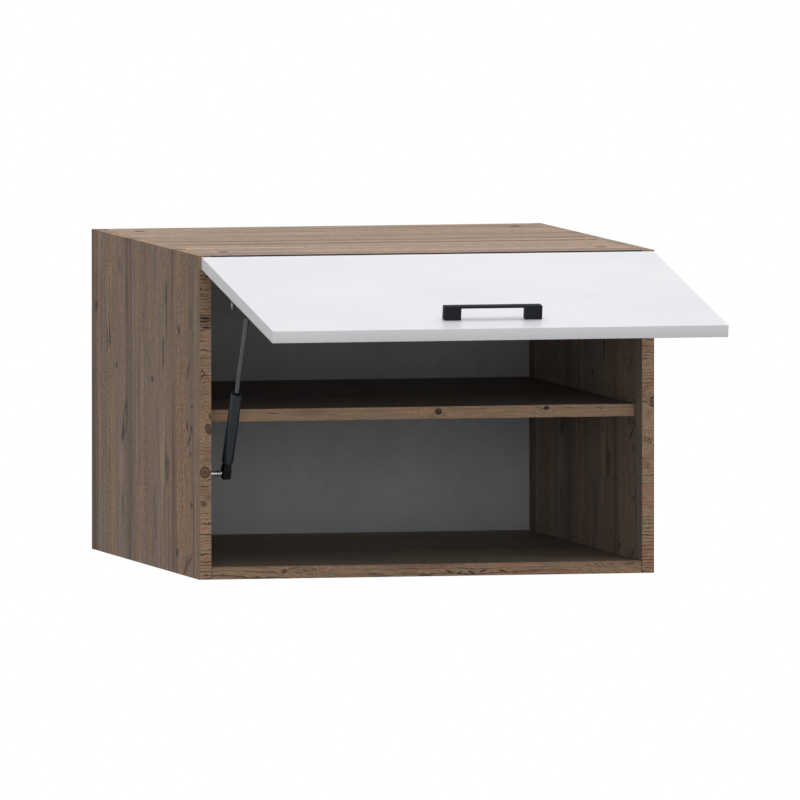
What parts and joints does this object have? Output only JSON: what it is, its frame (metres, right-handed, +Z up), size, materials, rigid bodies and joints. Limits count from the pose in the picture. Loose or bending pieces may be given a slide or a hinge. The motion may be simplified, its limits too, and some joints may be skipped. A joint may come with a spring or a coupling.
{
  "type": "lift-up wall cabinet",
  "caption": "Deep kitchen wall cabinet with a shelf and a top-hinged white flap door, held open by a gas strut, in a wood-grain carcass with a black bridge handle.",
  "frame": {"origin": "middle of the rear face, which lies against the wall", "axes": "+X to the right seen from the front, +Y out of the rear face towards the wall, +Z up; the door is at its open stop"},
  "size_m": [0.6, 1.0418, 0.416],
  "materials": {
    "back_board": "matte",
    "beech": "matte",
    "bracket_black": "satin",
    "bright_steel": "satin",
    "bumper": "satin",
    "cam_lock": "satin",
    "door_edging": "satin",
    "door_white": "satin",
    "handle_black": "satin",
    "nickel_steel": "satin",
    "oak_decor": "satin",
    "oak_edging": "satin",
    "piston": "satin",
    "seal": "matte",
    "socket_black": "matte",
    "strut_rod": "satin",
    "strut_tube": "satin"
  },
  "bodies": {
    "carcass": {"side_panel_left": "oak_decor", "side_panel_right": "oak_decor", "top_panel": "oak_decor", "bottom_panel": "oak_decor", "back_panel": "back_board", "shelf": "oak_decor", "side_edging_left": "oak_edging", "side_edging_right": "oak_edging", "top_edging": "oak_edging", "bottom_edging": "oak_edging", "shelf_edging": "oak_edging", "shelf_pins": "bright_steel", "cam_locks": "cam_lock", "cam_bolts": "bright_steel", "dowels": "beech", "back_nails": "bright_steel", "wall_bracket_left": "nickel_steel", "wall_bracket_right": "nickel_steel", "wall_bracket_screws": "bright_steel", "hinge_plate_left": "nickel_steel", "hinge_plate_right": "nickel_steel", "hinge_plate_screws": "bright_steel", "hinge_arm_left": "nickel_steel", "hinge_arm_right": "nickel_steel", "hinge_arm_screws": "bright_steel", "strut_foot_plate": "bracket_black", "strut_foot_stud": "bright_steel", "strut_foot_screws": "bright_steel"},
    "door": {"door_panel": "door_white", "door_edging": "door_edging", "door_bumpers": "bumper", "handle": "handle_black", "handle_screws": "bright_steel", "hinge_cup_left": "nickel_steel", "hinge_cup_right": "nickel_steel", "hinge_pins": "bright_steel", "hinge_cup_screws": "bright_steel", "strut_head_bracket": "bracket_black", "strut_head_stud": "bright_steel", "strut_head_screws": "bright_steel"},
    "strut_cylinder": {"strut_tube": "strut_tube", "strut_foot_socket": "socket_black", "strut_rod_guide": "socket_black", "strut_rod_seal": "seal"},
    "strut_plunger": {"strut_rod": "strut_rod", "strut_piston": "piston", "strut_head_socket": "socket_black", "strut_head_ball": "bright_steel"}
  },
  "joints": [
    {"name": "door_lift", "type": "hinge", "parent": "carcass", "child": "door", "pos_m": [0, -0.6422, 0.1985], "axis": [1, 0, 0], "range_deg": [0, 80]},
    {"name": "strut_swing", "type": "hinge", "parent": "carcass", "child": "strut_cylinder", "pos_m": [-0.2592, -0.605, -0.073], "axis": [1, 0, 0], "range_deg": [-28.3, 0]},
    {"name": "strut_slide", "type": "slide", "parent": "strut_cylinder", "child": "strut_plunger", "axis": [0, -0.5033, 0.8641], "range_m": [-0.0866, 0], "stiffness_N_per_m": 230, "springref_m": 0.413}
  ],
  "couplings": [
    {"joint": "strut_swing", "follows": "door_lift", "ratio": -0.35355},
    {"joint": "strut_slide", "follows": "door_lift", "m_per_rad": -0.061992}
  ]
}
